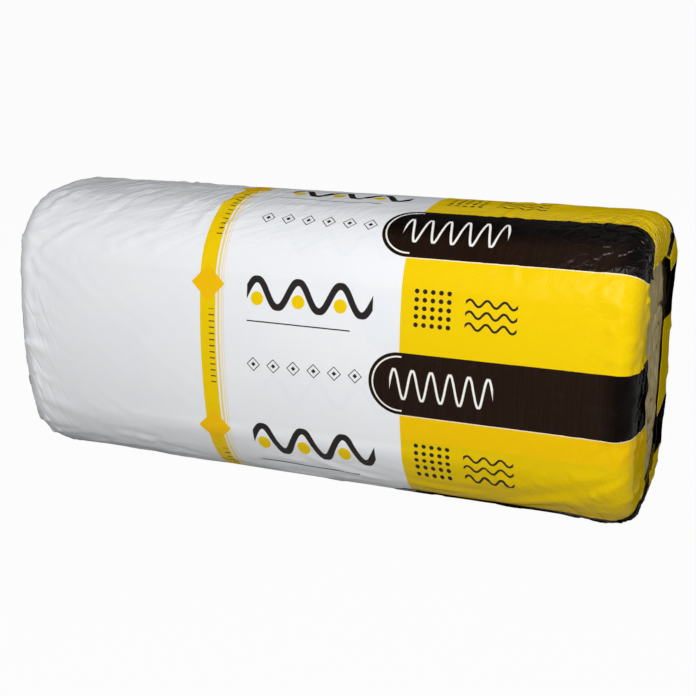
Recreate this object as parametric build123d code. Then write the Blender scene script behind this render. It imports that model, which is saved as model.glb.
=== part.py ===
from build123d import *
import math
import os

# Insulation roll: a mat of glass wool, wound up and pressed oval, in a sleeve of printed film.
# The sleeve is drawn in over both ends, where it leaves a tall mouth that shows the turns of the mat.
# The roll lies along X on its flattened underside. The origin is on the floor under its middle, Z is up.
# All lengths are in millimetres.

# Outline of the pack across its length: a flat foot, two bulging flanks and a crowned top
pack_width = 406.0
pack_height = 542.0
widest_height = 268.0
foot_radius = 160.0
flank_radius = 900.0
shoulder_radius = 145.0
crown_radius = 460.0

# The pack along its length, with a round rim at each end
pack_length = 1210.0
rim_radius = 28.0

# Film sleeve, and the mouth that it leaves at each end, off the middle towards the front
film_thickness = 0.8
mouth_height = 404.0
mouth_width = 172.0
mouth_middle_height = 274.0
mouth_offset = 33.0
mouth_tip_radius = 24.0

# Wound mat: the collapsed eye in its middle, and the groove between its turns on each end,
# which starts a margin inside the outline
film_slack = 0.3
turn_count = 3
eye_height = 62.0
eye_width = 12.0
groove_margin = 115.0
groove_width = 3.0
groove_depth = 6.0

# How far a cutter runs past the face that it cuts
cut_overrun = 20.0


def circles_meet(centre_a, radius_a, centre_b, radius_b):
    """Where two circles meet, to the left of the way from the first centre to the second."""
    along = centre_b - centre_a
    share = (radius_a**2 - radius_b**2 + along.length**2) / (2 * along.length**2)
    rise = math.sqrt(radius_a**2 - (share * along.length) ** 2)
    return centre_a + along * share + Vector(-along.Y, along.X).normalized() * rise


def direction_angle(start, end):
    return math.degrees(math.atan2(end.Y - start.Y, end.X - start.X))


# Centres of the arcs in the right half of the outline, where X is across the pack and Y is up
flank_centre = Vector(pack_width / 2 - flank_radius, widest_height)
crown_centre = Vector(0, pack_height - crown_radius)
foot_reach = math.sqrt((flank_radius - foot_radius) ** 2 - (widest_height - foot_radius) ** 2)
foot_centre = Vector(flank_centre.X + foot_reach, foot_radius)
shoulder_centre = circles_meet(
    flank_centre, flank_radius - shoulder_radius, crown_centre, crown_radius - shoulder_radius
)

# Directions in which one arc of the outline runs into the next
foot_start = -90
foot_end = direction_angle(flank_centre, foot_centre)
flank_end = direction_angle(flank_centre, shoulder_centre)
shoulder_end = direction_angle(crown_centre, shoulder_centre)
crown_end = 90


def outline_face(inset):
    """The outline of the pack, moved inwards by the inset."""
    right = [
        Line((0, inset), (foot_centre.X, inset)),
        CenterArc(foot_centre, foot_radius - inset, foot_start, foot_end - foot_start),
        CenterArc(flank_centre, flank_radius - inset, foot_end, flank_end - foot_end),
        CenterArc(shoulder_centre, shoulder_radius - inset, flank_end, shoulder_end - flank_end),
        CenterArc(crown_centre, crown_radius - inset, shoulder_end, crown_end - shoulder_end),
    ]
    left = [edge.mirror(Plane.YZ) for edge in right]
    return make_face(right + left)


def pack_bar(inset):
    """The pack as one bar with square ends, moved inwards by the inset on every side."""
    return extrude(Plane.YZ * outline_face(inset), pack_length / 2 - inset, both=True)


def rims(bar):
    return bar.faces().filter_by(Axis.X).edges()


def other_end(shape):
    """The same shape at the -X end."""
    return shape.mirror(Plane.YZ)


def end_cutter(face, depth):
    """A prism on a face drawn in the outline's plane, through the +X end to that depth."""
    start = Plane.YZ.offset(pack_length / 2 - depth)
    return extrude(start * face, depth + cut_overrun)


def mouth_face():
    """The mouth of the film: a lens of two arcs, with its tips rounded off."""
    tip, side = mouth_height / 2, mouth_width / 2
    front = ThreePointArc((0, -tip), (-side, 0), (0, tip))
    back = ThreePointArc((0, tip), (side, 0), (0, -tip))
    lens = make_face([front, back])
    return Pos(-mouth_offset, mouth_middle_height) * fillet(lens.vertices(), mouth_tip_radius)


def make_film_sleeve():
    outside = fillet(rims(pack_bar(0)), rim_radius)
    inside = fillet(rims(pack_bar(film_thickness)), rim_radius - film_thickness)
    mouth = end_cutter(mouth_face(), rim_radius)
    return outside - inside - mouth - other_end(mouth)


def spiral_edge(shift):
    """One edge of the groove between the turns: half ovals that shrink towards the eye.
    The shift moves the edge outwards from the groove's middle."""
    half_turns = 2 * turn_count
    wide = pack_width / 2 - groove_margin
    high = pack_height / 2 - groove_margin
    width_step = (wide - eye_width / 2) / half_turns
    height_step = (high - eye_height / 2) / half_turns
    edges = []
    for turn in range(half_turns):
        side = 1 if turn % 2 else -1
        reach = wide - (turn + 0.5) * width_step + shift
        rise = high - (turn + 0.5) * height_step + shift
        middle = (0, pack_height / 2 - side * height_step / 2)
        edges.append(EllipticalCenterArc(middle, reach, rise, -90 * side, arc_size=180))
    return edges


def groove_cutter():
    """The groove between the turns on the +X end, as one ribbon down to the eye."""
    outer = spiral_edge(groove_width / 2)
    inner = spiral_edge(-groove_width / 2)
    caps = [Line(outer[0] @ 0, inner[0] @ 0), Line(outer[-1] @ 1, inner[-1] @ 1)]
    ribbon = make_face(outer + inner + caps)
    return end_cutter(ribbon, film_thickness + film_slack + groove_depth)


def make_wool_roll():
    """The wound mat, its edges crushed to a slope where the film draws over the rim."""
    inset = film_thickness + film_slack
    roll = chamfer(rims(pack_bar(inset)), rim_radius - inset)
    eye_face = Pos(0, pack_height / 2) * SlotOverall(eye_height, eye_width, rotation=90)
    eye = extrude(Plane.YZ * eye_face, pack_length / 2 + cut_overrun, both=True)
    groove = groove_cutter()
    return roll - eye - groove - other_end(groove)


def main():
    os.makedirs("parts", exist_ok=True)
    export_step(make_film_sleeve(), "parts/film_sleeve.step")
    export_step(make_wool_roll(), "parts/wool_roll.step")


main()
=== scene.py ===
import math
import random
from collections import namedtuple

import bpy
import numpy as np
from mathutils import Matrix, Vector, noise


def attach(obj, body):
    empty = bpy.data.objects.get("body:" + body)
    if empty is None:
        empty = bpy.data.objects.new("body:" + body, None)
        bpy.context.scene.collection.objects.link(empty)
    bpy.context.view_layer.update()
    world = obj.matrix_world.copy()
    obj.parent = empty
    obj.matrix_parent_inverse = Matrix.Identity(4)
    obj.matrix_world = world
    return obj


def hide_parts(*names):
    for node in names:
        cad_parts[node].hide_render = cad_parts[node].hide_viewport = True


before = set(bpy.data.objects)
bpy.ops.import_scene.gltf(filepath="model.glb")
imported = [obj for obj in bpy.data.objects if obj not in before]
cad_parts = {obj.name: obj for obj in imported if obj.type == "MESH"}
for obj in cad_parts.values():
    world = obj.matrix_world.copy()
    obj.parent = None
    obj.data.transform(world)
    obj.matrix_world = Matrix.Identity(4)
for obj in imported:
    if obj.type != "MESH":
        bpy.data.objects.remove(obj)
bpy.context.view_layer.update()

# Insulation roll: a wound mat of glass wool in a sleeve of printed film, lying along X.
# All lengths are in metres. "along" runs on the flat film from its middle to its ends,
# "girth" runs up the front from the widest place, over the crest and down the back.

# Outline of the pack, as in the part's source
PACK_LENGTH = 1.210
PACK_WIDTH = 0.406
PACK_HEIGHT = 0.542
WIDEST_HEIGHT = 0.268
FOOT_RADIUS = 0.160
FLANK_RADIUS = 0.900
SHOULDER_RADIUS = 0.145
CROWN_RADIUS = 0.460
OUTLINE_STEPS = 500

# Rims, and the mouth that the film leaves at each end: it leans and narrows towards its foot
RIM_RADIUS = 0.036
RIM_TURN = math.radians(84)
MOUTH_HALF_HEIGHT = 0.200
MOUTH_HALF_WIDTH = 0.092
MOUTH_FOOT_HALF_WIDTH = 0.055
MOUTH_MIDDLE = 0.272
MOUTH_OFFSET = -0.040
MOUTH_FOOT_OFFSET = -0.012
MOUTH_LEAN_FOOT = 0.10
MOUTH_LEAN_TOP = 0.42
MOUTH_SQUARENESS = 1.4
END_PROUD = 0.004

# Film: what is drawn in over each end, the lap on the back shoulder, and its thickness
END_OVERHANG = 0.100
LAP_EDGE = 0.540
LAP_WIDTH = 0.050
LAP_STEP = 0.012
LAP_DEPTH = 0.0012
FILM_THICKNESS = 0.0005
FLOOR_HEIGHT = -0.0015
FILM_OFF_FLOOR = 0.0006

# Corners over which the film slides as it turns in, as places on the girth
SLIDING_CORNERS = (0.335, -0.235)
CORNER_SPREAD = 0.060
CORNER_SLIDE = 0.045
SLIDE_EARLY = 0.010

# Waves of the lips, each with its height, its count round the girth and its start
RAGGED_WAVES = ((0.0030, 11, 1.3), (0.0022, 29, 2.1))
FLUTTER_WAVES = ((0.0022, 13, 0.7), (0.0012, 37, 1.9))
FLUTTER_START = -0.04
FLUTTER_FULL = -0.10


# The pack's outline and the mouth's lip

def circles_meet(centre_a, radius_a, centre_b, radius_b):
    way = centre_b - centre_a
    far = np.hypot(*way)
    share = (radius_a ** 2 - radius_b ** 2 + far ** 2) / (2 * far ** 2)
    rise = math.sqrt(radius_a ** 2 - (share * far) ** 2)
    return centre_a + way * share + np.array([-way[1], way[0]]) / far * rise


def heading_of(centre_a, centre_b):
    return math.atan2(centre_b[1] - centre_a[1], centre_b[0] - centre_a[0])


def half_outline():
    """The right half of the outline from under the middle up to the crest, as points."""
    flank = np.array([PACK_WIDTH / 2 - FLANK_RADIUS, WIDEST_HEIGHT])
    crown = np.array([0, PACK_HEIGHT - CROWN_RADIUS])
    reach = math.sqrt((FLANK_RADIUS - FOOT_RADIUS) ** 2 - (WIDEST_HEIGHT - FOOT_RADIUS) ** 2)
    foot = np.array([flank[0] + reach, FOOT_RADIUS])
    shoulder = circles_meet(flank, FLANK_RADIUS - SHOULDER_RADIUS,
                            crown, CROWN_RADIUS - SHOULDER_RADIUS)
    foot_end = heading_of(flank, foot)
    flank_end = heading_of(flank, shoulder)
    shoulder_end = heading_of(crown, shoulder)
    arcs = ((foot, FOOT_RADIUS, -math.pi / 2, foot_end),
            (flank, FLANK_RADIUS, foot_end, flank_end),
            (shoulder, SHOULDER_RADIUS, flank_end, shoulder_end),
            (crown, CROWN_RADIUS, shoulder_end, math.pi / 2))
    runs = [np.stack([np.linspace(0, foot[0], OUTLINE_STEPS), np.zeros(OUTLINE_STEPS)], 1)]
    for centre, radius, start, stop in arcs:
        turn = np.linspace(start, stop, OUTLINE_STEPS)
        runs.append(centre + radius * np.stack([np.cos(turn), np.sin(turn)], 1))
    points = np.concatenate(runs)
    fresh = np.r_[True, np.hypot(*np.diff(points, axis=0).T) > 1e-9]
    return points[fresh]


RIGHT_HALF = half_outline()
LEFT_HALF = RIGHT_HALF * [-1, 1]
WIDEST = int(np.argmax(RIGHT_HALF[:, 0]))
OUTLINE = np.concatenate([LEFT_HALF[WIDEST:], RIGHT_HALF[::-1][1:], LEFT_HALF[1:WIDEST + 1]])
OUTLINE_RUN = np.r_[0, np.cumsum(np.hypot(*np.diff(OUTLINE, axis=0).T))]
GIRTH = float(OUTLINE_RUN[-1])
CREST = len(RIGHT_HALF) - 1 - WIDEST
# Where the front, the crest, the back and the underside lie on the girth
QUARTERS = [0, OUTLINE_RUN[CREST], OUTLINE_RUN[2 * CREST],
            OUTLINE_RUN[CREST + len(RIGHT_HALF) - 1], GIRTH]


def outline_point(girth):
    run = np.mod(girth, GIRTH)
    return np.stack([np.interp(run, OUTLINE_RUN, OUTLINE[:, k]) for k in (0, 1)], -1)


def round_pack(girth):
    """Points of the outline at these places on the girth, with the way out of the pack."""
    step = outline_point(girth + 1e-3) - outline_point(girth - 1e-3)
    step /= np.linalg.norm(step, axis=-1, keepdims=True)
    return outline_point(girth), np.stack([-step[..., 1], step[..., 0]], -1)


def smooth(low, high, value):
    """0 at low and 1 at high, with a soft step between."""
    k = np.clip((value - low) / (high - low), 0, 1)
    return k * k * (3 - 2 * k)


def squared(share):
    """Shares from -1 to 1, pushed out towards both ends."""
    return np.tanh(MOUTH_SQUARENESS * share) / math.tanh(MOUTH_SQUARENESS)


def mouth_spread(z):
    """The mouth's middle and half its width at these heights."""
    rise = smooth(MOUTH_LEAN_FOOT, MOUTH_LEAN_TOP, z)
    middle = MOUTH_FOOT_OFFSET + (MOUTH_OFFSET - MOUTH_FOOT_OFFSET) * rise
    return middle, MOUTH_FOOT_HALF_WIDTH + (MOUTH_HALF_WIDTH - MOUTH_FOOT_HALF_WIDTH) * rise


def mouth_lip(girth):
    """The film's lip opposite these places on the girth: blunt at the top, narrow at the foot."""
    outline = outline_point(girth)
    z = MOUTH_MIDDLE + MOUTH_HALF_HEIGHT * squared(outline[..., 1] / (PACK_HEIGHT / 2) - 1)
    middle, half = mouth_spread(z)
    return np.stack([middle + half * squared(outline[..., 0] / (PACK_WIDTH / 2)), z], -1)


def inside_mouth(y, z):
    """How far, about, a point of the end face lies inside the lip."""
    middle, half = mouth_spread(z)
    rise = np.abs(z - MOUTH_MIDDLE) / MOUTH_HALF_HEIGHT
    return half * (1 - np.cbrt((np.abs(y - middle) / half) ** 3 + rise ** 3))


# Wrapping the film

# Each end bulges a little from the rim to the lip, because the rim turns less than square
BULGE_SLOPE = math.tan(math.pi / 2 - RIM_TURN)
BULGE = BULGE_SLOPE * (PACK_WIDTH / 2 - RIM_RADIUS - MOUTH_HALF_WIDTH) / 2
BODY_HALF = PACK_LENGTH / 2 + END_PROUD - RIM_RADIUS * math.sin(RIM_TURN) - BULGE
RIM_RUN = RIM_RADIUS * RIM_TURN
FILM_HALF = BODY_HALF + RIM_RUN + END_OVERHANG


def lip_waves(waves, girth, end):
    """Whole waves round the girth, which start elsewhere at the other end."""
    wave = 2 * math.pi * girth / GIRTH
    return sum(height * np.sin(count * wave + start * end) for height, count, start in waves)


def slid_round(girth, far):
    """Where the film over the sliding corners comes to lie as it turns in."""
    near = np.mod(girth + GIRTH / 2, GIRTH) - GIRTH / 2
    corner = sum(np.exp(-((near - at) / CORNER_SPREAD) ** 2) for at in SLIDING_CORNERS)
    return girth - CORNER_SLIDE * corner * smooth(BODY_HALF - SLIDE_EARLY, FILM_HALF, far)


def wrap_film(along, girth):
    """Flat film laid round the pack, its ends drawn in to the lips: places and ways out."""
    end, far = np.sign(along), np.abs(along)
    turn = np.clip((far - BODY_HALF) / RIM_RADIUS, 0, RIM_TURN)
    drawn = np.clip((far - BODY_HALF - RIM_RUN) / END_OVERHANG, 0, 1)
    slid = slid_round(girth, far)
    outline, out = round_pack(slid)
    lip = mouth_lip(slid)
    edge = outline - out * (RIM_RADIUS * (1 - np.cos(turn)))[..., None]
    reach = np.linalg.norm(lip - edge, axis=-1)
    x = np.minimum(far, BODY_HALF) + RIM_RADIUS * np.sin(turn)
    x = x + BULGE * (2 * drawn - drawn ** 2)
    # Only the front lip flutters in and out
    flutter = lip_waves(FLUTTER_WAVES, girth, end)
    x = x + drawn ** 2 * flutter * smooth(FLUTTER_START, FLUTTER_FULL, lip[..., 0])
    ragged = lip_waves(RAGGED_WAVES, girth, end)
    yz = edge + (lip - edge) * (drawn * (1 + ragged / reach))[..., None]
    place = np.stack([end * x, yz[..., 0], yz[..., 1]], -1)
    turn = turn + (math.pi / 2 - RIM_TURN) * drawn
    way = np.stack([end * np.sin(turn), out[..., 0] * np.cos(turn), out[..., 1] * np.cos(turn)], -1)
    return place, way


# Steps of work on a mesh

def clear_selection():
    if bpy.context.object and bpy.context.object.mode != "OBJECT":
        bpy.ops.object.mode_set(mode="OBJECT")
    bpy.ops.object.select_all(action="DESELECT")


def pick_piece(piece):
    clear_selection()
    piece.select_set(True)
    bpy.context.view_layer.objects.active = piece


def grid_sheet(name, columns, rows):
    """A flat grid with columns x rows points, and the column and row of each of its points."""
    clear_selection()
    bpy.ops.mesh.primitive_grid_add(x_subdivisions=columns - 1, y_subdivisions=rows - 1, size=2)
    sheet = bpy.context.object
    sheet.name = sheet.data.name = name
    flat = np.zeros(len(sheet.data.vertices) * 3)
    sheet.data.vertices.foreach_get("co", flat)
    flat = flat.reshape(-1, 3)
    column = np.rint((flat[:, 0] + 1) / 2 * (columns - 1)).astype(int)
    row = np.rint((flat[:, 1] + 1) / 2 * (rows - 1)).astype(int)
    return sheet, column, row


def place_points(piece, points):
    piece.data.vertices.foreach_set("co", np.asarray(points, np.float32).ravel())
    piece.data.update()


def apply_modifier(piece, kind, **settings):
    pick_piece(piece)
    step = piece.modifiers.new(kind.title(), kind)
    for key, value in settings.items():
        setattr(step, key, value)
    bpy.ops.object.modifier_apply(modifier=step.name)


def mend_mesh(piece, doubles=1e-5):
    """Merge doubles and point all faces outwards."""
    pick_piece(piece)
    bpy.ops.object.mode_set(mode="EDIT")
    bpy.ops.mesh.select_all(action="SELECT")
    bpy.ops.mesh.remove_doubles(threshold=doubles)
    bpy.ops.mesh.normals_make_consistent(inside=False)
    bpy.ops.object.mode_set(mode="OBJECT")


def close_ends(tube):
    """Fill the open ends of a tube."""
    pick_piece(tube)
    bpy.ops.object.mode_set(mode="EDIT")
    bpy.ops.mesh.select_all(action="SELECT")
    bpy.ops.mesh.region_to_loop()
    bpy.ops.mesh.edge_face_add()
    bpy.ops.mesh.select_all(action="SELECT")
    bpy.ops.mesh.normals_make_consistent(inside=False)
    bpy.ops.object.mode_set(mode="OBJECT")


def finish_piece(piece, material, stands_for):
    """Smooth shading, the material, and the CAD node whose place the piece takes."""
    pick_piece(piece)
    bpy.ops.object.shade_smooth()
    piece.data.materials.clear()
    piece.data.materials.append(material)
    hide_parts(stands_for)
    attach(piece, "root")


# Shrinking the film on by simulation

SHRINK_COLUMNS = 131
SHRINK_ROWS = 151
SHRINK_FRAMES = 16
START_LIFT = 0.004
CUT_LENGTHENING = 1.004
CUT_WIDENING = 1.012
CUT_NARROWING = 0.33
CUT_NARROWING_POWER = 1.2
LIP_HOLD = 0.6
FILM_CLEARANCE = 0.002
CORE_COLUMNS = 61
CORE_ROWS = 161
CORE_SHORT = 0.004
CORE_INSET = 0.003
CORE_FRICTION = 5

# Shares of the shrink's moves that the taut body keeps and the pressed lips lose
BODY_KEEPS = 0.35
BODY_KEEPS_TO_RIM = 0.10
LIPS_LOSE = 0.8
LIPS_LOSE_FROM_RIM = 0.6
LIPS_LOSE_RUN = 0.03


def pressed_core():
    """A plain blank just inside the film, for the film to shrink on to."""
    core, column, row = grid_sheet("pressed_core", CORE_COLUMNS, CORE_ROWS)
    reach = FILM_HALF - CORE_SHORT
    along = np.linspace(-reach, reach, CORE_COLUMNS)[column]
    place, way = wrap_film(along, GIRTH * row / (CORE_ROWS - 1))
    place_points(core, place - way * CORE_INSET)
    mend_mesh(core)
    close_ends(core)
    core.modifiers.new("Collision", "COLLISION")
    core.collision.thickness_outer = FILM_CLEARANCE
    core.collision.cloth_friction = CORE_FRICTION
    return core


def loose_film(along, girth):
    """The film as a tube just off the pack, with each point's column and row."""
    film, column, row = grid_sheet("shrinking_film", SHRINK_COLUMNS, SHRINK_ROWS)
    start, way = wrap_film(along[column], girth[row])
    place_points(film, start + way * START_LIFT)
    for name, value in (("column", column), ("row", row)):
        film.data.attributes.new(name, "INT", "POINT").data.foreach_set("value", value)
    mend_mesh(film)
    count = len(film.data.vertices)
    column, row = np.zeros(count, int), np.zeros(count, int)
    film.data.attributes["column"].data.foreach_get("value", column)
    film.data.attributes["row"].data.foreach_get("value", row)
    return film, column, np.where(row == SHRINK_ROWS - 1, 0, row)


def cut_film(film, along, girth):
    """The film's cut before it shrinks: a straight tube, narrower towards its ends."""
    outline = outline_point(girth)
    end_share = np.clip((np.abs(along) - BODY_HALF) / (RIM_RUN + END_OVERHANG), 0, 1)
    narrow = (1 - CUT_NARROWING * end_share ** CUT_NARROWING_POWER) * CUT_WIDENING
    middle = PACK_HEIGHT / 2
    cut = np.stack([along * CUT_LENGTHENING, outline[:, 0] * narrow,
                    middle + (outline[:, 1] - middle) * narrow], -1)
    film.shape_key_add(name="Basis")
    key = film.shape_key_add(name="cut")
    key.data.foreach_set("co", cut.astype(np.float32).ravel())
    key.value = 0
    return key


def film_cloth(film, cut_key):
    cloth = film.modifiers.new("Cloth", "CLOTH")
    stuff = cloth.settings
    stuff.quality = 6
    stuff.mass = 0.1
    stuff.tension_stiffness = 40
    stuff.compression_stiffness = 40
    stuff.shear_stiffness = 20
    stuff.bending_stiffness = 0.05
    stuff.tension_damping = 10
    stuff.compression_damping = 10
    stuff.shear_damping = 10
    stuff.bending_damping = 0.5
    stuff.air_damping = 3
    stuff.use_pressure = True
    stuff.uniform_pressure_force = -1.0
    stuff.effector_weights.gravity = 0.1
    stuff.rest_shape_key = cut_key
    stuff.vertex_group_mass = "lips"
    cloth.collision_settings.distance_min = FILM_CLEARANCE
    cloth.collision_settings.use_self_collision = False
    cloth.collision_settings.collision_quality = 2
    cloth.point_cache.frame_start = 1
    cloth.point_cache.frame_end = SHRINK_FRAMES


def shrink_film():
    """How far each point of the film moves when it shrinks on to the pack, over along and girth."""
    along = np.linspace(-FILM_HALF, FILM_HALF, SHRINK_COLUMNS)
    girth = np.linspace(0, GIRTH, SHRINK_ROWS)
    moved = np.zeros((SHRINK_COLUMNS, SHRINK_ROWS, 3))
    core = pressed_core()
    film, column, row = loose_film(along, girth)
    cut_key = cut_film(film, along[column], girth[row])
    lips = film.vertex_groups.new(name="lips")
    at_lip = (column == 0) | (column == SHRINK_COLUMNS - 1)
    lips.add(np.nonzero(at_lip)[0].tolist(), LIP_HOLD, "REPLACE")
    film_cloth(film, cut_key)
    scene = bpy.context.scene
    for step in range(1, SHRINK_FRAMES + 1):
        scene.frame_set(step)
    shrunk = film.evaluated_get(bpy.context.evaluated_depsgraph_get()).to_mesh()
    points = np.zeros(len(column) * 3)
    shrunk.vertices.foreach_get("co", points)
    start, _ = wrap_film(along[column], girth[row])
    moved[column, row] = points.reshape(-1, 3) - start
    moved[:, -1] = moved[:, 0]
    # Each ring of the film keeps its own mean place
    _, out = wrap_film(*np.meshgrid(along, girth, indexing="ij"))
    lift = np.sum(moved * out, -1)
    moved -= out * lift.mean(1)[:, None, None]
    for helper in (film, core):
        bpy.data.objects.remove(helper)
    scene.frame_set(1)
    return along, girth, moved


def between_rows(field, place, wraps):
    """Smooth reading of a field along its first axis, at fractional places."""
    count = len(field)
    base = np.floor(place).astype(int)
    k = (place - base)[:, None, None]
    rows = []
    for step in (-1, 0, 1, 2):
        at = base + step
        rows.append(field[np.mod(at, count - 1) if wraps else np.clip(at, 0, count - 1)])
    a, b, c, d = rows
    return b + k * 0.5 * (c - a + k * (2 * a - 5 * b + 4 * c - d + k * (3 * (b - c) + d - a)))


def spread_shrink(along, girth):
    """The shrink's moves, read at the film's own columns and rows."""
    sim_along, sim_girth, moved = shrink_film()
    field = between_rows(moved, (along - sim_along[0]) / (sim_along[1] - sim_along[0]), False)
    at = np.mod(girth, GIRTH) / (sim_girth[1] - sim_girth[0])
    field = between_rows(field.transpose(1, 0, 2), at, True).transpose(1, 0, 2)
    far = np.abs(along)
    kept = BODY_KEEPS + (1 - BODY_KEEPS) * smooth(BODY_HALF - BODY_KEEPS_TO_RIM, BODY_HALF, far)
    kept *= 1 - LIPS_LOSE * smooth(BODY_HALF + RIM_RUN * LIPS_LOSE_FROM_RIM,
                                   BODY_HALF + RIM_RUN + LIPS_LOSE_RUN, far)
    return field * kept[:, None, None]


# Folds and creases in the film

# A patch of creases on the flat film: how many, its two corners as (along, girth), the heading and
# its swing in degrees, then the least and most length, width and height of a crease
Patch = namedtuple("Patch", "count low high heading swing length width height")

CREASE_SEED = 7
CREASE_DIP = 0.45
CREASE_DIP_AT = 1.7
CREASE_BEND = 3
# One crease in three is a dent, and not so deep
CREASE_SIGNS = (1, 1, -0.7)

PLAIN_SHOULDER = Patch(34, (-0.57, 0.19), (-0.14, 0.30), 27, 8,
                       (0.07, 0.17), (0.006, 0.009), (0.0014, 0.0034))
PLAIN_CREST = Patch(44, (-0.58, 0.29), (-0.13, 0.50), 64, 9,
                    (0.08, 0.18), (0.007, 0.010), (0.0015, 0.0040))
LONG_CREST = Patch(44, (-0.18, 0.30), (0.56, 0.55), 14, 16,
                   (0.06, 0.18), (0.006, 0.010), (0.0008, 0.0020))
CRUMPLED_SHOULDER = Patch(120, (0.34, 0.215), (0.64, 0.35), 52, 36,
                          (0.03, 0.09), (0.005, 0.007), (0.0012, 0.0030))
FRONT_FLANK = Patch(40, (-0.55, -0.20), (0.55, 0.20), 75, 40,
                    (0.05, 0.16), (0.006, 0.012), (0.0002, 0.0005))
UNDER_SHOULDER = Patch(26, (0.40, 0.195), (0.62, 0.25), 86, 12,
                       (0.025, 0.06), (0.005, 0.007), (0.0008, 0.0018))
FRONT_LIP = Patch(60, (0.585, -0.24), (0.69, 0.22), 8, 34,
                  (0.03, 0.09), (0.005, 0.007), (0.0015, 0.0045))
COLOURED_FOOT = Patch(26, (0.36, -0.25), (0.60, -0.17), 120, 12,
                      (0.04, 0.09), (0.005, 0.006), (0.0016, 0.0032))
PLAIN_RIM = Patch(16, (-0.625, -0.26), (-0.55, 0.00), 109, 8,
                  (0.08, 0.17), (0.005, 0.008), (0.0030, 0.0058))
FRONT_FOOT = Patch(40, (-0.55, -0.30), (0.58, -0.20), 2, 9,
                   (0.08, 0.22), (0.006, 0.010), (0.0010, 0.0030))
BACK_FOOT = Patch(30, (-0.55, -0.60), (0.60, -0.50), 2, 9,
                  (0.08, 0.22), (0.009, 0.014), (0.0008, 0.0024))
BACK_FLANK = Patch(70, (-0.56, -1.05), (0.56, -0.60), 75, 45,
                   (0.06, 0.18), (0.010, 0.016), (0.0005, 0.0018))
PLAIN_END = Patch(110, (-0.62 - 0.06, -1.05), (-0.62 + 0.06, 0.57), 0, 20,
                  (0.04, 0.11), (0.007, 0.011), (0.0010, 0.0034))
COLOURED_END = PLAIN_END._replace(low=(0.62 - 0.06, -1.05), high=(0.62 + 0.06, 0.57))

# Fan of folds in the lower corner by the coloured end
FAN_COUNT = 18
FAN_MIDDLE = (0.585, -0.235)
FAN_START = 120
FAN_STEP = 12
FAN_SWING = 6
FAN_REACH = (0.06, 0.13)
FAN_SHARE = 0.6
FAN_LENGTH = 1.4
FAN_WIDTH = 0.0065
FAN_HEIGHT = (0.0014, 0.0034)
FAN_BEND = 2

# Loose flap at the top of the mouth by the coloured end
FLAP_START = 0.585
FLAP_FULL = 0.63
FLAP_MIDDLE = 0.60
FLAP_SPREAD = 0.085
FLAP_LIFT = 0.007


def crease(field, along, girth, at, heading, length, width, height, bend):
    """One crease: a ridge that tapers at both ends, with a shallow dip on one side."""
    da, dg = along - at[0], girth - at[1]
    run = da * math.cos(heading) + dg * math.sin(heading)
    off = -da * math.sin(heading) + dg * math.cos(heading) - bend * run * run
    near = (np.abs(run) < length * 0.6) & (np.abs(off) < width * 4)
    r, d = run[near] / (length / 2), off[near] / width
    taper = np.clip(1 - r * r, 0, 1) ** 0.8
    ridge = height * taper * (np.exp(-d * d) - CREASE_DIP * np.exp(-((d - CREASE_DIP_AT) ** 2)))
    held = field[near]
    field[near] = np.where(ridge > 0, np.maximum(held, ridge), np.minimum(held, ridge))


def crease_patch(field, along, girth, dice, patch):
    for _ in range(patch.count):
        at = [dice.uniform(patch.low[k], patch.high[k]) for k in (0, 1)]
        heading = math.radians(patch.heading + dice.gauss(0, patch.swing))
        length = dice.uniform(*patch.length)
        width = dice.uniform(*patch.width)
        height = dice.uniform(*patch.height) * dice.choice(CREASE_SIGNS)
        bend = dice.uniform(-CREASE_BEND, CREASE_BEND)
        crease(field, along, girth, at, heading, length, width, height, bend)


def crease_fan(field, along, girth, dice):
    for k in range(FAN_COUNT):
        swing = math.radians(FAN_START + FAN_STEP * k + dice.uniform(-FAN_SWING, FAN_SWING))
        far = dice.uniform(*FAN_REACH)
        at = (FAN_MIDDLE[0] + far * FAN_SHARE * math.cos(swing),
              FAN_MIDDLE[1] + far * FAN_SHARE * math.sin(swing))
        height = dice.uniform(*FAN_HEIGHT)
        bend = dice.uniform(-FAN_BEND, FAN_BEND)
        crease(field, along, girth, at, swing, far * FAN_LENGTH, FAN_WIDTH, height, bend)


def film_folds(along, girth):
    """Height of the film's folds over the flat film, outwards."""
    dice = random.Random(CREASE_SEED)
    field = np.zeros_like(along)
    for patch in (PLAIN_SHOULDER, PLAIN_CREST, LONG_CREST, CRUMPLED_SHOULDER, FRONT_FLANK,
                  UNDER_SHOULDER, FRONT_LIP, COLOURED_FOOT):
        crease_patch(field, along, girth, dice, patch)
    crease_fan(field, along, girth, dice)
    for patch in (PLAIN_RIM, FRONT_FOOT, BACK_FOOT, BACK_FLANK, PLAIN_END, COLOURED_END):
        crease_patch(field, along, girth, dice, patch)
    flap = np.exp(-((np.mod(girth, GIRTH) - FLAP_MIDDLE) / FLAP_SPREAD) ** 2)
    field += FLAP_LIFT * (smooth(FLAP_START, FLAP_FULL, along) * flap)
    return field


# Film sleeve

# Marks between which the film's columns and rows are evenly spaced, and the steps between them
COLUMN_MARKS = [-FILM_HALF, -0.54, 0.30, 0.54, FILM_HALF]
COLUMN_STEPS = [37, 104, 42, 37]
ROW_MARKS = [LAP_EDGE - GIRTH - LAP_WIDTH, -0.36, 0.52, LAP_EDGE]
ROW_STEPS = [62, 146, 4]
END_START = 0.02
END_DENT = 0.0004


def spaced(marks, steps):
    """Places from the first mark to the last, with so many steps between each two."""
    runs = [np.linspace(a, b, n, endpoint=False) for a, b, n in zip(marks, marks[1:], steps)]
    return np.r_[np.concatenate(runs), marks[-1]]


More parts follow.
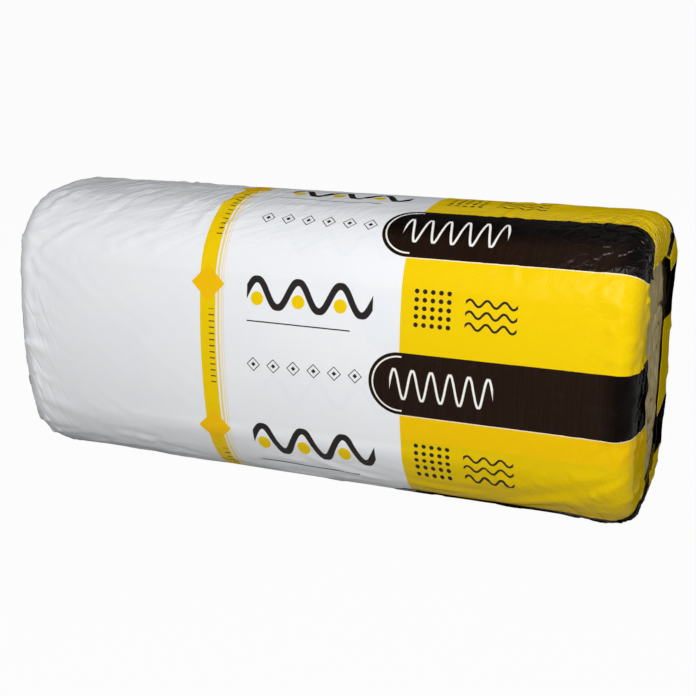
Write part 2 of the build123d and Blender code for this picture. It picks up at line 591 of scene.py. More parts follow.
def film_places(along_lines, girth_lines):
    """Where the shrunk and creased film lies, over its columns and rows."""
    along, girth = np.meshgrid(along_lines, girth_lines, indexing="ij")
    place, way = wrap_film(along, girth)
    place += spread_shrink(along_lines, girth_lines)
    lift = film_folds(along, girth)
    # The lap's lower layer lies under the upper one
    under = smooth(LAP_EDGE - GIRTH + LAP_STEP, LAP_EDGE - GIRTH, girth)
    lift = lift * (1 - under) - LAP_DEPTH * under
    # The end faces keep outside the wool
    on_end = smooth(BODY_HALF + END_START, BODY_HALF + RIM_RUN, np.abs(along))
    lift = lift * (1 - on_end) + (np.maximum(lift, -END_DENT) + END_DENT) * on_end
    place += way * lift[..., None]
    place[..., 2] = np.maximum(place[..., 2], FLOOR_HEIGHT + FILM_OFF_FLOOR)
    return place


def keep_flat_cut(sleeve, u, v):
    """A map of the flat film, from each point's share along and round it."""
    flat = sleeve.data.uv_layers[0]
    flat.name = "flat_cut"
    corner = np.zeros(len(sleeve.data.loops), int)
    sleeve.data.loops.foreach_get("vertex_index", corner)
    flat.uv.foreach_set("vector", np.stack([u[corner], v[corner]], -1).astype(np.float32).ravel())


def face_outwards(sleeve):
    """Turn the film's faces out of the pack, by its middle face."""
    pick_piece(sleeve)
    middle = sleeve.data.polygons[len(sleeve.data.polygons) // 2]
    out = np.array(middle.center)[1:] - np.array([0, PACK_HEIGHT / 2])
    if np.dot(np.array(middle.normal)[1:], out) < 0:
        bpy.ops.object.mode_set(mode="EDIT")
        bpy.ops.mesh.select_all(action="SELECT")
        bpy.ops.mesh.flip_normals()
        bpy.ops.object.mode_set(mode="OBJECT")


def make_film_sleeve():
    along_lines = spaced(COLUMN_MARKS, COLUMN_STEPS)
    girth_lines = spaced(ROW_MARKS, ROW_STEPS)
    sleeve, column, row = grid_sheet("film_sleeve_wrapped", len(along_lines), len(girth_lines))
    place_points(sleeve, film_places(along_lines, girth_lines)[column, row])
    u = (along_lines[column] + FILM_HALF) / (2 * FILM_HALF)
    v = (girth_lines[row] - girth_lines[0]) / (girth_lines[-1] - girth_lines[0])
    keep_flat_cut(sleeve, u, v)
    face_outwards(sleeve)
    apply_modifier(sleeve, "SOLIDIFY", thickness=FILM_THICKNESS, offset=-1, use_even_offset=False)
    finish_piece(sleeve, printed_film(), "film_sleeve")
    return sleeve


# Wound wool

EYE_HALF_HEIGHT = 0.031
EYE_HALF_WIDTH = 0.006
EYE_DEPTH = 0.022
EYE_RINGS = 4
TURN_COUNT = 3
TURN_MARGIN = 0.115
TURN_WANDER = 0.10
GROOVE_SPREAD = 0.07
GROOVE_DEPTH = 0.0055
PILLOW_HEIGHT = 0.0015
FIBRE_HEIGHT = 0.0014
FIBRE_SEED = 1.7
WANDER_SEED = 3.3
WOOL_SEGMENTS = 220
WOOL_END_RINGS = 84
WOOL_RIM_RINGS = 8
WOOL_BODY_RINGS = 16
WOOL_CLEARANCE = 0.006
WOOL_RIM_RADIUS = RIM_RADIUS - 0.004
WOOL_SINK = 0.0018
WOOL_CROWN = 0.0030
COVERED_SINK = 0.006
COVERED_RUN = 0.09


def eye_of_roll(girth):
    """The collapsed eye opposite these places on the girth."""
    turn = np.interp(np.mod(girth, GIRTH), QUARTERS, [0, 1, 2, 3, 4]) * math.pi / 2
    return np.stack([-EYE_HALF_WIDTH * np.cos(turn), PACK_HEIGHT / 2 + EYE_HALF_HEIGHT * np.sin(turn)], -1)


def wool_fibre(points):
    """Fine upright ridges of the cut mat."""
    out = np.zeros(len(points))
    for k, (y, z) in enumerate(points):
        out[k] = (0.6 * noise.noise(Vector((y * 260, z * 45, FIBRE_SEED)))
                  + 0.4 * noise.noise(Vector((y * 420, z * 160, FIBRE_SEED + 9))))
    return out


def turn_wander(points, end):
    """How far the turns wander off a true spiral."""
    return TURN_WANDER * np.array([noise.noise(Vector((y * 30, z * 14, WANDER_SEED + side)))
                                   for (y, z), side in zip(points, end)])


def wool_ball(rings):
    """A ball whose rings become the ends, rims and body, with each point's ring and girth share."""
    clear_selection()
    bpy.ops.mesh.primitive_uv_sphere_add(segments=WOOL_SEGMENTS, ring_count=rings, radius=1)
    wool = bpy.context.object
    wool.name = wool.data.name = "wool_roll_wound"
    ball = np.zeros(len(wool.data.vertices) * 3)
    wool.data.vertices.foreach_get("co", ball)
    ball = ball.reshape(-1, 3)
    ring = np.rint((np.arcsin(np.clip(ball[:, 2], -1, 1)) / math.pi + 0.5) * rings).astype(int)
    return wool, ring, np.mod(np.arctan2(ball[:, 1], ball[:, 0]) / (2 * math.pi), 1)


def turn_grooves(inward, girth_share, wander):
    """The grooves between the turns, the pillows of the turns, and where there are any."""
    first_run = TURN_MARGIN - RIM_RADIUS - WOOL_CLEARANCE
    first = first_run / (PACK_WIDTH / 2 - RIM_RADIUS - WOOL_CLEARANCE)
    wind = TURN_COUNT * (inward - first) / (1 - first) + girth_share
    share = np.mod(wind + wander, 1)
    gap = np.minimum(share, 1 - share)
    return np.exp(-(gap / GROOVE_SPREAD) ** 2), 4 * (share - 0.5) ** 2, inward > first


def make_wool_roll():
    """The wound mat: plain under the film, with the edges of its turns in the mouths."""
    rings = 2 * (WOOL_END_RINGS + WOOL_RIM_RINGS) + WOOL_BODY_RINGS
    wool, ring, girth_share = wool_ball(rings)
    girth = girth_share * GIRTH
    end = np.where(ring * 2 < rings, -1.0, 1.0)
    step = np.minimum(ring, rings - ring)
    on_end = step <= WOOL_END_RINGS

    # Across the end face from the eye out to the rim, round the rim, then along the body
    outline, out = round_pack(girth)
    inward = 1 - np.clip((step - EYE_RINGS) / (WOOL_END_RINGS - EYE_RINGS), 0, 1)
    rim = np.clip((step - WOOL_END_RINGS) / WOOL_RIM_RINGS, 0, 1) * math.pi / 2
    body = np.clip((step - WOOL_END_RINGS - WOOL_RIM_RINGS) / (WOOL_BODY_RINGS / 2), 0, 1)
    edge = outline - out * (WOOL_CLEARANCE + RIM_RADIUS * (1 - np.sin(rim)))[:, None]
    yz = edge + (eye_of_roll(girth) - edge) * inward[:, None]
    closing = np.clip(1 - step / EYE_RINGS, 0, 1)
    yz = yz + (np.array([0, PACK_HEIGHT / 2]) - yz) * closing[:, None] * 0.98

    # The end stands proudest in the mouth and sinks under the film
    depth = inside_mouth(yz[:, 0], yz[:, 1])
    in_mouth = smooth(-0.010, 0.003, depth)
    tall = np.clip((yz[:, 1] - MOUTH_MIDDLE) / MOUTH_HALF_HEIGHT, -1.2, 1.2)
    x = PACK_LENGTH / 2 + END_PROUD - WOOL_SINK - WOOL_CROWN * tall ** 2 - COVERED_SINK * (1 - in_mouth)
    x = x - BULGE * smooth(0, COVERED_RUN, -depth)
    x = x - WOOL_RIM_RADIUS * (1 - np.cos(rim))
    x = x * (1 - body)

    # Edges of the turns: soft pillows between the grooves of the spiral
    groove, pillow, wound = turn_grooves(inward, girth_share, turn_wander(yz, end))
    turned = on_end & wound
    groove = np.where(turned, groove, 0)
    x -= in_mouth * (GROOVE_DEPTH * groove + PILLOW_HEIGHT * np.where(turned, pillow, 0))
    x += in_mouth * FIBRE_HEIGHT * np.where(on_end, wool_fibre(yz), 0) * (step >= EYE_RINGS)
    x -= EYE_DEPTH * closing ** 0.7
    place_points(wool, np.stack([end * x, yz[:, 0], yz[:, 1]], -1))
    # The grooves between the turns and the eye get painted shade through this attribute
    shade = wool.data.attributes.new("turn_gap_shade", "FLOAT", "POINT")
    shade.data.foreach_set("value", np.maximum(groove, closing).astype(np.float32))
    mend_mesh(wool, 1e-6)
    finish_piece(wool, glass_wool(), "wool_roll")
    return wool


# Wiring of materials

class Wire:
    """A value in a node tree that can be reckoned with like a number."""

    def __init__(self, tree, socket):
        self.tree, self.socket = tree, socket

    def math(self, operation, *others, clamp=False):
        made = self.tree.nodes.new("ShaderNodeMath")
        made.operation, made.use_clamp = operation, clamp
        for slot, value in zip(made.inputs, (self, *others)):
            join(self.tree, value, slot)
        return Wire(self.tree, made.outputs[0])

    def __add__(self, other):
        return self.math("ADD", other)

    def __sub__(self, other):
        return self.math("SUBTRACT", other)

    def __mul__(self, other):
        return self.math("MULTIPLY", other)

    def __truediv__(self, other):
        return self.math("DIVIDE", other)

    def __abs__(self):
        return self.math("ABSOLUTE")

    def up_to(self, other):
        return self.math("MINIMUM", other)

    def at_least(self, other):
        return self.math("MAXIMUM", other)

    def past(self, edge, blur=0.0007):
        """1 where the value is past the edge, with a soft step."""
        return self.math("SUBTRACT", edge - blur / 2).math("DIVIDE", blur, clamp=True)

    def short_of(self, edge, blur=0.0007):
        return self.past(edge, blur).math("MULTIPLY_ADD", -1, 1)

    def within(self, low, high, blur=0.0007):
        return self.past(low, blur) * self.short_of(high, blur)


def join(tree, value, slot):
    if isinstance(value, Wire):
        tree.links.new(value.socket, slot)
    elif hasattr(value, "__len__") and len(value) == 3 and slot.type == "RGBA":
        slot.default_value = (*value, 1)
    else:
        slot.default_value = value


def node(tree, kind, output=0, settings=(), **sockets):
    made = tree.nodes.new(kind)
    for key, value in dict(settings).items():
        setattr(made, key, value)
    for key, value in sockets.items():
        join(tree, value, made.inputs[key.replace("_", " ")])
    return Wire(tree, made.outputs[output])


def split_up(tree, vector):
    """The parts of a vector."""
    split = tree.nodes.new("ShaderNodeSeparateXYZ")
    tree.links.new(vector.socket, split.inputs[0])
    return [Wire(tree, part) for part in split.outputs]


def mixed_in(tree, kind, share, first, second):
    """A mix of two colours or two vectors."""
    mixed = tree.nodes.new("ShaderNodeMix")
    mixed.data_type = kind
    slots = {"VECTOR": (4, 5, 1), "RGBA": (6, 7, 2)}[kind]
    join(tree, share, mixed.inputs[0])
    join(tree, first, mixed.inputs[slots[0]])
    join(tree, second, mixed.inputs[slots[1]])
    return Wire(tree, mixed.outputs[slots[2]])


def ink(mask, over, colour):
    """Lay a colour over another where the mask is 1."""
    return mixed_in(mask.tree, "RGBA", mask, over, colour)


def noise_of(tree, places, scale, detail, roughness=0.5, output=0):
    return node(tree, "ShaderNodeTexNoise", output=output, Vector=places, Scale=scale, Detail=detail,
                Roughness=roughness)


def fresh_material(name):
    material = bpy.data.materials.new(name)
    material.use_nodes = True
    return material, material.node_tree, material.node_tree.nodes["Principled BSDF"]


# Print on the film

FILM_WHITE = (0.772, 0.783, 0.800)
FILM_GREY = (0.720, 0.735, 0.770)
GHOST_BLUE = (0.640, 0.690, 0.760)
PRINT_YELLOW = (0.785, 0.537, 0.002)
WARM_YELLOW = (0.810, 0.475, 0.002)
UNDER_YELLOW = (0.715, 0.498, 0.002)
DEEP_YELLOW = (0.820, 0.470, 0.004)
BAND_BROWN = (0.0125, 0.0054, 0.0030)
BAND_STREAK_BROWN = (0.0240, 0.0120, 0.0075)
# Painted shade: the bands' brown darkened over the crest and the coloured rim
BAND_PAINTED_SHADE = (0.0025, 0.0009, 0.0005)
MARK_DARK = (0.022, 0.018, 0.018)
LINE_PALE = (0.800, 0.790, 0.740)
SCUFF_GREY = (0.50, 0.50, 0.49)

# One repeat goes up the film every PRINT_REPEAT, from the foot of a dark band. The back's print lies
# BACK_SHIFT off the front's, and the underside takes that up over a run about a middle place.
PRINT_REPEAT = 0.281
PRINT_START = -0.066
BACK_SHIFT = 0.065
BACK_SHIFT_MIDDLE = -0.30
BACK_SHIFT_RUN = 0.28

# A wavy mark: its span along the film, its middle up the repeat, its rise, repeat and line width
WaveMark = namedtuple("WaveMark", "low high middle rise repeat width")

# Faint ghost of the layer beneath the white
GHOST_LIFT = 0.105
GHOST_WAVE = WaveMark(-0.060, 0.190, 0.195, 0.022, 0.0833, 0.011)
GHOST_DISC = (0.185, 0.057)
GHOST_DISC_RADIUS = 0.052
GHOST_INK = 0.16

# Cross stripe, with its fine lines, lozenges and ticks
STRIPE_SPAN = (-0.188, -0.156)
FINE_LINES = ((-0.1525, -0.1480), (-0.1445, -0.1430), (-0.1400, -0.1390))
FINE_LINE_INK = 0.75
LOZENGE_PLACE = (-0.172, 0.205)
LOZENGE_REACH = 0.034
TICK_PITCH = 0.0117
TICK_HALF = 0.0011
TICK_SPAN = (-0.170, -0.159)
TICK_RISE = (0.012, 0.158)

# Marks on the white: a bold wave with dots in its bends, a rule, and a row of small lozenges
BOLD_WAVE = WaveMark(-0.092, 0.152, 0.196, 0.024, 0.0813, 0.0125)
BEND_DOTS = (-0.0717, 0.0096, 0.0909)
BEND_DOT_RISE = 0.185
BEND_DOT_RADIUS = 0.0125
RULE_RISE = 0.143
RULE_HALF = 0.0012
RULE_SPAN = (-0.092, 0.110)
SMALL_PITCH = 0.040
SMALL_SPAN = (-0.10, 0.14)
SMALL_RISE = 0.062
SMALL_FRAME = 0.0125
SMALL_FRAME_HALF = 0.0011
SMALL_MIDDLE = 0.0045

# Coloured field and its dark bands, with loops on them and a ring round each nose
FIELD_EDGE = 0.203
UNDER_EDGE = -0.114
UNDER_BLUR = 0.002
UNDER_INK = 0.85
WARM_EDGE = -0.066
WARM_INK = 0.7
BAND_HEIGHT = 0.1145
BAND_LINE = 0.0016
BAND_LINE_INK = 0.8
BAND_STREAK_INK = 0.35
# Places past which the bands carry painted shade: up the girth over the crest, and along towards the
# coloured rim
BAND_SHADE_CREST = (0.265, 0.03)
BAND_SHADE_RIM = (0.565, 0.03)
BAND_LOOPS = WaveMark(0.185, 0.372, BAND_HEIGHT / 2, 0.026, 0.034, 0.0042)
NOSE_RING_INSET = 0.0075
NOSE_RING_HALF = 0.0014
NOSE_RING_PAST = 0.004

# Marks on the yellow: a stack of waves and a patch of dots
STACK_WAVES = [WaveMark(0.318, 0.408, middle, 0.0055, 0.030, 0.0042) for middle in (0.172, 0.192, 0.212)]
DOT_PITCH = 0.0145
DOT_RADIUS = 0.0042
DOT_SPAN = (0.224, 0.296)
DOT_RISE = (0.1588, 0.2313)

SCUFF_INK = 0.008

# A place on the flat film: along, girth, how far up the print's repeat, and the first two as a vector
FilmPlace = namedtuple("FilmPlace", "tree along girth up metres")


def up_repeat(run):
    return (run / PRINT_REPEAT).math("FRACT") * PRINT_REPEAT


def film_place(tree):
    u, v, _ = split_up(tree, node(tree, "ShaderNodeUVMap", settings={"uv_map": "flat_cut"}))
    along = u * (2 * FILM_HALF) - FILM_HALF
    girth = v * (GIRTH + LAP_WIDTH) + (LAP_EDGE - GIRTH - LAP_WIDTH)
    shift = girth.short_of(BACK_SHIFT_MIDDLE, BACK_SHIFT_RUN) * BACK_SHIFT
    up = up_repeat(girth + shift - PRINT_START)
    return FilmPlace(tree, along, girth, up, node(tree, "ShaderNodeCombineXYZ", X=along, Y=girth))


def wave_mark(along, up, mark):
    """A wavy line along the film."""
    turn = (along - mark.low) * (2 * math.pi / mark.repeat)
    slope = turn.math("COSINE") * (mark.rise * 2 * math.pi / mark.repeat)
    lean = (slope * slope + 1.0).math("SQRT")
    off = abs(up - turn.math("SINE") * mark.rise - mark.middle) / lean
    return off.short_of(mark.width / 2) * along.within(mark.low, mark.high)


def far_from(along, up, at):
    return ((along - at[0]) * (along - at[0]) + (up - at[1]) * (up - at[1])).math("SQRT")


def row_of(value, start, pitch):
    """Folds a line into equal cells, and gives the place in the cell from its middle."""
    return ((value - start) / pitch).math("FRACT") * pitch - pitch / 2


def white_field(film):
    """White, a little uneven, with a faint ghost of the layer beneath."""
    cloud = noise_of(film.tree, film.metres, 7.0, 3.0, 0.55)
    colour = ink(cloud.past(0.55, 0.3) * 0.35, FILM_WHITE, FILM_GREY)
    up = up_repeat(film.girth - PRINT_START - GHOST_LIFT)
    ghost = wave_mark(film.along, up, GHOST_WAVE)
    ghost = ghost.at_least(far_from(film.along, up, GHOST_DISC).short_of(GHOST_DISC_RADIUS))
    return ink(ghost * GHOST_INK, colour, GHOST_BLUE)


def cross_stripe(film, colour):
    stripe = film.along.within(*STRIPE_SPAN)
    for span in FINE_LINES:
        stripe = stripe.at_least(film.along.within(*span) * FINE_LINE_INK)
    colour = ink(stripe, colour, PRINT_YELLOW)
    lozenge = abs(film.along - LOZENGE_PLACE[0]) + abs(film.up - LOZENGE_PLACE[1])
    colour = ink(lozenge.short_of(LOZENGE_REACH), colour, DEEP_YELLOW)
    tick = abs(row_of(film.up, 0.0, TICK_PITCH)).short_of(TICK_HALF)
    tick = tick * film.along.within(*TICK_SPAN) * film.up.within(*TICK_RISE)
    return ink(tick, colour, MARK_DARK)


def white_marks(film, colour):
    colour = ink(wave_mark(film.along, film.up, BOLD_WAVE), colour, MARK_DARK)
    for at in BEND_DOTS:
        dot = far_from(film.along, film.up, (at, BEND_DOT_RISE)).short_of(BEND_DOT_RADIUS)
        colour = ink(dot, colour, PRINT_YELLOW)
    rule = abs(film.up - RULE_RISE).short_of(RULE_HALF) * film.along.within(*RULE_SPAN)
    off = abs(row_of(film.along, SMALL_SPAN[0], SMALL_PITCH)) + abs(film.up - SMALL_RISE)
    small = abs(off - SMALL_FRAME).short_of(SMALL_FRAME_HALF).at_least(off.short_of(SMALL_MIDDLE))
    return ink(rule.at_least(small * film.along.within(*SMALL_SPAN)), colour, MARK_DARK)


def streaked_shaded_brown(film):
    """Brown with fine lighter upright streaks, deeper over the crest and the coloured rim through painted
    shade.
    """
    # Lighter brown laid in fine upright streaks
    streaked = drawn_streaks(film, 90, 0.10, 0.004).past(0.55, 0.25) * BAND_STREAK_INK
    # Painted shade deepens the brown over the crest and the coloured rim
    painted_shade = film.girth.past(*BAND_SHADE_CREST).at_least(film.along.past(*BAND_SHADE_RIM))
    return ink(painted_shade, ink(streaked, BAND_BROWN, BAND_STREAK_BROWN), BAND_PAINTED_SHADE)


def coloured_field(film, colour):
    """Yellow, warmer low on the front and darker and greener nearer the foot, with dark bands."""
    field = film.along.past(FIELD_EDGE)
    colour = ink(field, colour, PRINT_YELLOW)
    warm = film.girth.within(UNDER_EDGE, WARM_EDGE, UNDER_BLUR)
    colour = ink(field * warm * WARM_INK, colour, WARM_YELLOW)
    # Darker, greener yellow below this edge towards the foot
    under = film.girth.short_of(UNDER_EDGE, UNDER_BLUR)
    colour = ink(field * under * UNDER_INK, colour, UNDER_YELLOW)
    half = BAND_HEIGHT / 2
    straight = (abs(film.up - half) - half).at_least((film.along - FIELD_EDGE) * -1.0)
    nose = far_from(film.along, film.up, (FIELD_EDGE, half)) - half
    band = straight.up_to(nose)
    line = film.up.past(PRINT_REPEAT - BAND_LINE)
    colour = ink(field * line * BAND_LINE_INK, colour, LINE_PALE)
    colour = ink(band.short_of(0.0), colour, streaked_shaded_brown(film))
    ring = abs(nose + NOSE_RING_INSET).short_of(NOSE_RING_HALF)
    ring = ring * film.along.short_of(FIELD_EDGE + NOSE_RING_PAST)
    return ink(wave_mark(film.along, film.up, BAND_LOOPS).at_least(ring), colour, LINE_PALE)


def yellow_marks(film, colour):
    for mark in STACK_WAVES:
        colour = ink(wave_mark(film.along, film.up, mark), colour, MARK_DARK)
    off_along = row_of(film.along, DOT_SPAN[0], DOT_PITCH)
    off_up = row_of(film.up, DOT_RISE[0], DOT_PITCH)
    dots = (off_along * off_along + off_up * off_up).math("SQRT").short_of(DOT_RADIUS)
    return ink(dots * film.along.within(*DOT_SPAN) * film.up.within(*DOT_RISE), colour, MARK_DARK)


# Crinkle and sheen of the film

# Edges of the zones on the flat film, each with the run over which it fades
CRUMPLED_PAST = (0.44, 0.20)
CRUMPLED_FOOT = (0.222, 0.03)
CRUMPLED_TOP = (0.40, 0.10)
CREST_FOOT = (0.30, 0.08)
CREST_TOP = (0.62, 0.20)
SHOULDER_FOOT = (0.20, 0.06)
SHOULDER_TOP = (0.31, 0.06)
UPRIGHT_ZONE = (0.20, 0.27, 0.04)
PLAIN_HALF_EDGE = (0.05, 0.35)
COLOURED_HALF_EDGE = (0.34, 0.35)
COLOURED_RIM_EDGE = (0.52, 0.10)
PLAIN_RIM_EDGE = (-0.53, 0.08)
PLAIN_RIM_TOP = (0.10, 0.12)
CORNER_EDGE = (0.42, 0.14)
CORNER_TOP = (-0.15, 0.05)

CRINKLE_STRENGTH = 0.7
CRINKLE_DISTANCE = 0.0014
SHEEN_EDGE = (0.62, 0.30)
PLAIN_SHEEN = 0.045
CRUMPLED_SHEEN = 0.13


def drawn_out(film, heading, length, width):
    """Film coordinates in units of this length one way and this width across it."""
    return node(film.tree, "ShaderNodeMapping", settings={"vector_type": "TEXTURE"}, Vector=film.metres,
                Rotation=(0.0, 0.0, math.radians(heading)), Scale=(length, width, 1.0))


def drawn_streaks(film, heading, length, width):
    """Soft streaks of about this length and width, all heading one way."""
    return noise_of(film.tree, drawn_out(film, heading, length, width), 1.0, 3.0, 0.55)


def cell_edges(tree, places, scale, reach):
    """Ridges of even height between cells, with sharp lines where the cells meet."""
    edge = node(tree, "ShaderNodeTexVoronoi", settings={"feature": "DISTANCE_TO_EDGE"},
                Vector=places, Scale=scale)
    return edge.up_to(reach) * 5.0


def fold_lines(film, heading, length, width):
    """Sharp fold lines about this far apart, all heading one way."""
    return cell_edges(film.tree, drawn_out(film, heading, length, width), 1.0, 0.12)


def crumpled_zone(film):
    """The crumpled shoulder by the coloured end."""
    zone = film.along.past(*CRUMPLED_PAST) * film.girth.past(*CRUMPLED_FOOT)
    return zone * film.girth.short_of(*CRUMPLED_TOP)


def crinkled_normal(film, crumpled):
    """Fine crinkle of thin film, drawn out into streaks over the crest, the rims and the foot."""
    along, girth = film.along, film.girth
    crest = girth.past(*CREST_FOOT) * girth.short_of(*CREST_TOP)
    shoulder = girth.past(*SHOULDER_FOOT) * girth.short_of(*SHOULDER_TOP)
    plain_half = along.short_of(*PLAIN_HALF_EDGE)
    coloured_half = along.past(*COLOURED_HALF_EDGE)
    coloured_rim = along.past(*COLOURED_RIM_EDGE)
    plain_rim = along.short_of(*PLAIN_RIM_EDGE) * girth.short_of(*PLAIN_RIM_TOP)
    foot_corner = along.past(*CORNER_EDGE) * girth.short_of(*CORNER_TOP)
    upright = coloured_half * girth.within(*UPRIGHT_ZONE)

    bent = noise_of(film.tree, film.metres, 24.0, 2.0, output=1)
    bent = mixed_in(film.tree, "VECTOR", 0.03, film.metres, bent)
    height = cell_edges(film.tree, bent, 44.0, 0.14) * (crumpled * 1.7 + coloured_rim * 0.3)
    ripple = noise_of(film.tree, film.metres, 70.0, 3.0)
    height = height + ripple * (coloured_rim * 0.5 + crest * 0.3 + 0.10)
    # Heading in degrees, length, width and strength of the streaks and the sharper folds
    streaks = [(64, 0.10, 0.012, crest * (plain_half * 3.2 + 0.7)),
               (27, 0.10, 0.011, shoulder * (plain_half * 2.0 + coloured_half * 1.4 + 0.3)),
               (86, 0.05, 0.006, upright * 1.8),
               (109, 0.10, 0.011, plain_rim * 1.6),
               (119, 0.09, 0.014, foot_corner * 1.4)]
    folds = [(109, 0.14, 0.026, plain_rim * 1.5),
             (119, 0.12, 0.028, foot_corner * 0.8),
             (62, 0.14, 0.034, crest * plain_half * 1.3)]
    for heading, length, width, share in streaks:
        height = height + drawn_streaks(film, heading, length, width) * share
    for heading, length, width, share in folds:
        height = height + fold_lines(film, heading, length, width) * share
    return node(film.tree, "ShaderNodeBump", Strength=CRINKLE_STRENGTH, Distance=CRINKLE_DISTANCE,
                Height=height)


def printed_film():
    material, tree, shader = fresh_material("printed_film_gloss")
    film = film_place(tree)
    colour = white_field(film)
    for layer in (cross_stripe, white_marks, coloured_field, yellow_marks):
        colour = layer(film, colour)
    # Faint scuffs where folds rub
    scuff = noise_of(tree, film.metres, 38.0, 6.0, 0.7)
    colour = ink(scuff.past(0.64, 0.2) * SCUFF_INK, colour, SCUFF_GREY)
    join(tree, colour, shader.inputs["Base Color"])

    crumpled = crumpled_zone(film)
    rough = noise_of(tree, film.metres, 16.0, 4.0, 0.6)
    join(tree, rough * 0.22 + 0.16 - crumpled * 0.07, shader.inputs["Roughness"])
    crinkled = crinkled_normal(film, crumpled)
    join(tree, crinkled, shader.inputs["Normal"])

    # The print's sheen fades where it is seen along the surface
    facing = node(tree, "ShaderNodeLayerWeight", output=1, Blend=0.5, Normal=crinkled)
    sheen = facing.short_of(*SHEEN_EDGE) * (crumpled * CRUMPLED_SHEEN + PLAIN_SHEEN)
    join(tree, sheen, shader.inputs["Specular IOR Level"])
    return material


# Glass wool

WOOL_DULL = (0.450, 0.350, 0.150)
WOOL_BRIGHT = (0.640, 0.540, 0.275)
WOOL_DARK = (0.190, 0.135, 0.055)
WOOL_PALE = (0.640, 0.580, 0.380)
GAP_PAINTED_SHADE = (0.020, 0.014, 0.008)
WOOL_SHEEN = 0.15


def glass_wool():
    material, tree, shader = fresh_material("glass_wool_fibres")
    place = node(tree, "ShaderNodeTexCoord", output=3)
    drawn = node(tree, "ShaderNodeMapping", Vector=place, Scale=(1.0, 1.0, 0.16))
    strands = noise_of(tree, drawn, 240.0, 6.0, 0.7)
    tufts = noise_of(tree, place, 34.0, 5.0, 0.6)
    colour = ink(tufts.past(0.5, 0.4), WOOL_DULL, WOOL_BRIGHT)
    colour = ink(strands.past(0.55, 0.25) * 0.8, colour, WOOL_DARK)
    colour = ink(strands.short_of(0.40, 0.15) * 0.5, colour, WOOL_PALE)
    gap = node(tree, "ShaderNodeAttribute", output=2, settings={"attribute_name": "turn_gap_shade"})
    # Painted shade darkens the grooves between the turns and the eye
    colour = ink(gap * 0.9, colour, GAP_PAINTED_SHADE)
    join(tree, colour, shader.inputs["Base Color"])
    join(tree, tufts * 0.10 + 0.85, shader.inputs["Roughness"])
    shader.inputs["Specular IOR Level"].default_value = WOOL_SHEEN
    bump = node(tree, "ShaderNodeBump", Strength=0.8, Distance=0.003, Height=strands * 0.7 + tufts * 0.5)
    join(tree, bump, shader.inputs["Normal"])
    return material


# Floor, light and camera

FLOOR_SIZE = 240
FLOOR_GREY = (0.38, 0.38, 0.38)
FLOOR_WHITE_SHARE = 0.965
WHITE = (1.0, 1.0, 1.0)
AIR_COLOUR = (0.93, 0.96, 1.0)
AIR_STRENGTH = 0.13
OVERHEAD_GREY = (0.22, 0.22, 0.23)
OVERHEAD_EDGE = (0.14, 0.20)
CAMERA_AZIMUTH = math.radians(23.0)
CAMERA_ELEVATION = math.radians(17.25)
CAMERA_ROLL = -0.0142
CAMERA_DISTANCE = 2.3615
CAMERA_TARGET = Vector((0.0217, 0.0, 0.245))
CAMERA_SENSOR = 36
CAMERA_LENS = 1216 / 696 * CAMERA_SENSOR
CAMERA_REACH = 400


def seen_rays(tree):
    """1 for rays that the camera, a reflection or something clear sends out, and glossy ones alone."""
    rays = tree.nodes.new("ShaderNodeLightPath")
    glossy = Wire(tree, rays.outputs["Is Glossy Ray"])
    seen = Wire(tree, rays.outputs["Is Camera Ray"]).at_least(glossy)
    return seen.at_least(Wire(tree, rays.outputs["Is Transmission Ray"])), glossy


def mix_to_output(tree, share, first, second, output_kind):
    mixed = tree.nodes.new("ShaderNodeMixShader")
    for value, slot in zip((share, first, second), mixed.inputs):
        join(tree, value, slot)
    end = tree.nodes.new(output_kind)
    tree.links.new(mixed.outputs[0], end.inputs[0])


def make_floor():
    clear_selection()
    bpy.ops.mesh.primitive_plane_add(size=FLOOR_SIZE, location=(0, 0, FLOOR_HEIGHT))
    floor = bpy.context.object
    floor.name = floor.data.name = "studio_floor"
    bpy.ops.object.transform_apply(location=True)
    material = bpy.data.materials.new("pale_floor")
    material.use_nodes = True
    tree = material.node_tree
    tree.nodes.clear()
    seen, _ = seen_rays(tree)
    plain = node(tree, "ShaderNodeBsdfDiffuse", Color=FLOOR_GREY)
    white = node(tree, "ShaderNodeEmission", Color=WHITE, Strength=1.0)
    mix_to_output(tree, seen * FLOOR_WHITE_SHARE, plain, white, "ShaderNodeOutputMaterial")
    floor.data.materials.append(material)


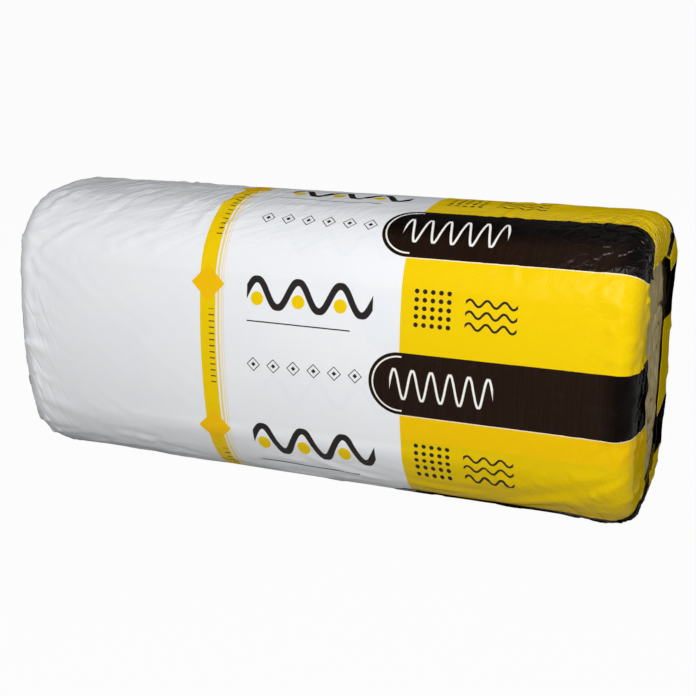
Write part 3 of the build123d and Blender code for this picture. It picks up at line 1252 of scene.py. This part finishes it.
def light_world():
    """Soft air about the roll, before a backdrop that is white, and grey overhead in reflections."""
    world = bpy.data.worlds.new("studio_air")
    bpy.context.scene.world = world
    world.use_nodes = True
    tree = world.node_tree
    tree.nodes.clear()
    seen, glossy = seen_rays(tree)
    soft = node(tree, "ShaderNodeBackground", Color=AIR_COLOUR, Strength=AIR_STRENGTH)
    _, _, rise = split_up(tree, node(tree, "ShaderNodeTexCoord"))
    backdrop = ink(rise.past(*OVERHEAD_EDGE) * glossy, WHITE, OVERHEAD_GREY)
    white = node(tree, "ShaderNodeBackground", Color=backdrop, Strength=1.0)
    mix_to_output(tree, seen, soft, white, "ShaderNodeOutputWorld")


def soft_lamp(name, place, target, size, power):
    lamp = bpy.data.lights.new(name, "AREA")
    lamp.size = size
    lamp.energy = power
    holder = bpy.data.objects.new(name, lamp)
    holder.location = place
    holder.rotation_euler = (Vector(target) - Vector(place)).to_track_quat("-Z", "Y").to_euler()
    holder.visible_camera = False
    bpy.context.scene.collection.objects.link(holder)


def set_camera():
    az, el = CAMERA_AZIMUTH, CAMERA_ELEVATION
    back = Vector((math.sin(az) * math.cos(el), -math.cos(az) * math.cos(el), math.sin(el)))
    right = Vector((math.cos(az), math.sin(az), 0))
    up = back.cross(right)
    turned_right = right * math.cos(CAMERA_ROLL) + up * math.sin(CAMERA_ROLL)
    turned_up = up * math.cos(CAMERA_ROLL) - right * math.sin(CAMERA_ROLL)
    camera = bpy.data.objects.new("photo_camera", bpy.data.cameras.new("photo_camera"))
    camera.data.lens = CAMERA_LENS
    camera.data.sensor_width = CAMERA_SENSOR
    camera.data.clip_end = CAMERA_REACH
    turn = Matrix((turned_right, turned_up, back)).transposed().to_4x4()
    camera.matrix_world = Matrix.Translation(CAMERA_TARGET + back * CAMERA_DISTANCE) @ turn
    bpy.context.scene.collection.objects.link(camera)
    bpy.context.scene.camera = camera


def set_studio():
    make_floor()
    light_world()
    soft_lamp("front_softbox", place=(0.7, -2.65, 1.80), target=(0, 0, 0.25), size=1.3, power=83)
    soft_lamp("right_softbox", place=(2.3, -1.1, 1.8), target=(0.4, 0, 0.3), size=0.35, power=12)
    soft_lamp("back_softbox", place=(-0.6, 2.6, 0.40), target=(0, 0, 0.27), size=1.0, power=20)
    bpy.context.scene.view_settings.view_transform = "Standard"
    set_camera()


# The whole roll

film_sleeve = make_film_sleeve()
wool_roll = make_wool_roll()
2 * FILM_HALF
set_studio()
